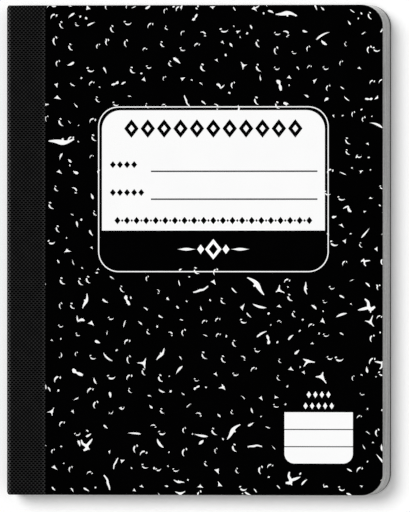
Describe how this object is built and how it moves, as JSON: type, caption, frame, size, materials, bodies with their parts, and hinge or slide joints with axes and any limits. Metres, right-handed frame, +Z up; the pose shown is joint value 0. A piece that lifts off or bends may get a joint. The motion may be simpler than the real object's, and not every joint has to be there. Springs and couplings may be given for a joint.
{
  "type": "composition notebook",
  "caption": "Sewn notebook with hinged marbled board covers, a cloth spine tape, rounded fore-edge corners and a ruled block of sheets, for writing in by hand.",
  "frame": {"origin": "middle of the surface that the closed notebook lies on", "axes": "+Z up through the closed book, +Y from the tail to the head of the cover, +X from the spine to the fore edge"},
  "size_m": [0.1941, 0.2476, 0.0113],
  "materials": {
    "sheets": "matte",
    "thread": "matte",
    "cover_board": "satin, black print on board",
    "spine_cloth": "woven, matte",
    "white_print": "satin"
  },
  "bodies": {
    "pages": {"page_block": "sheets", "binding_thread": "thread", "spine_tape_middle": "spine_cloth"},
    "front": {"front_cover": "cover_board", "spine_tape_front": "spine_cloth", "label_print": "white_print", "marbling_front": "white_print"},
    "back": {"back_cover": "cover_board", "spine_tape_back": "spine_cloth", "marbling_back": "white_print"}
  },
  "joints": [
    {"name": "front_hinge", "type": "hinge", "parent": "pages", "child": "front", "pos_m": [-0.09355, 0, 0.01145], "axis": [0, -1, 0], "range_deg": [0, 180]},
    {"name": "back_hinge", "type": "hinge", "parent": "pages", "child": "back", "pos_m": [-0.08995, 0, -0.00015], "axis": [0, 1, 0], "range_deg": [0, 180]}
  ]
}
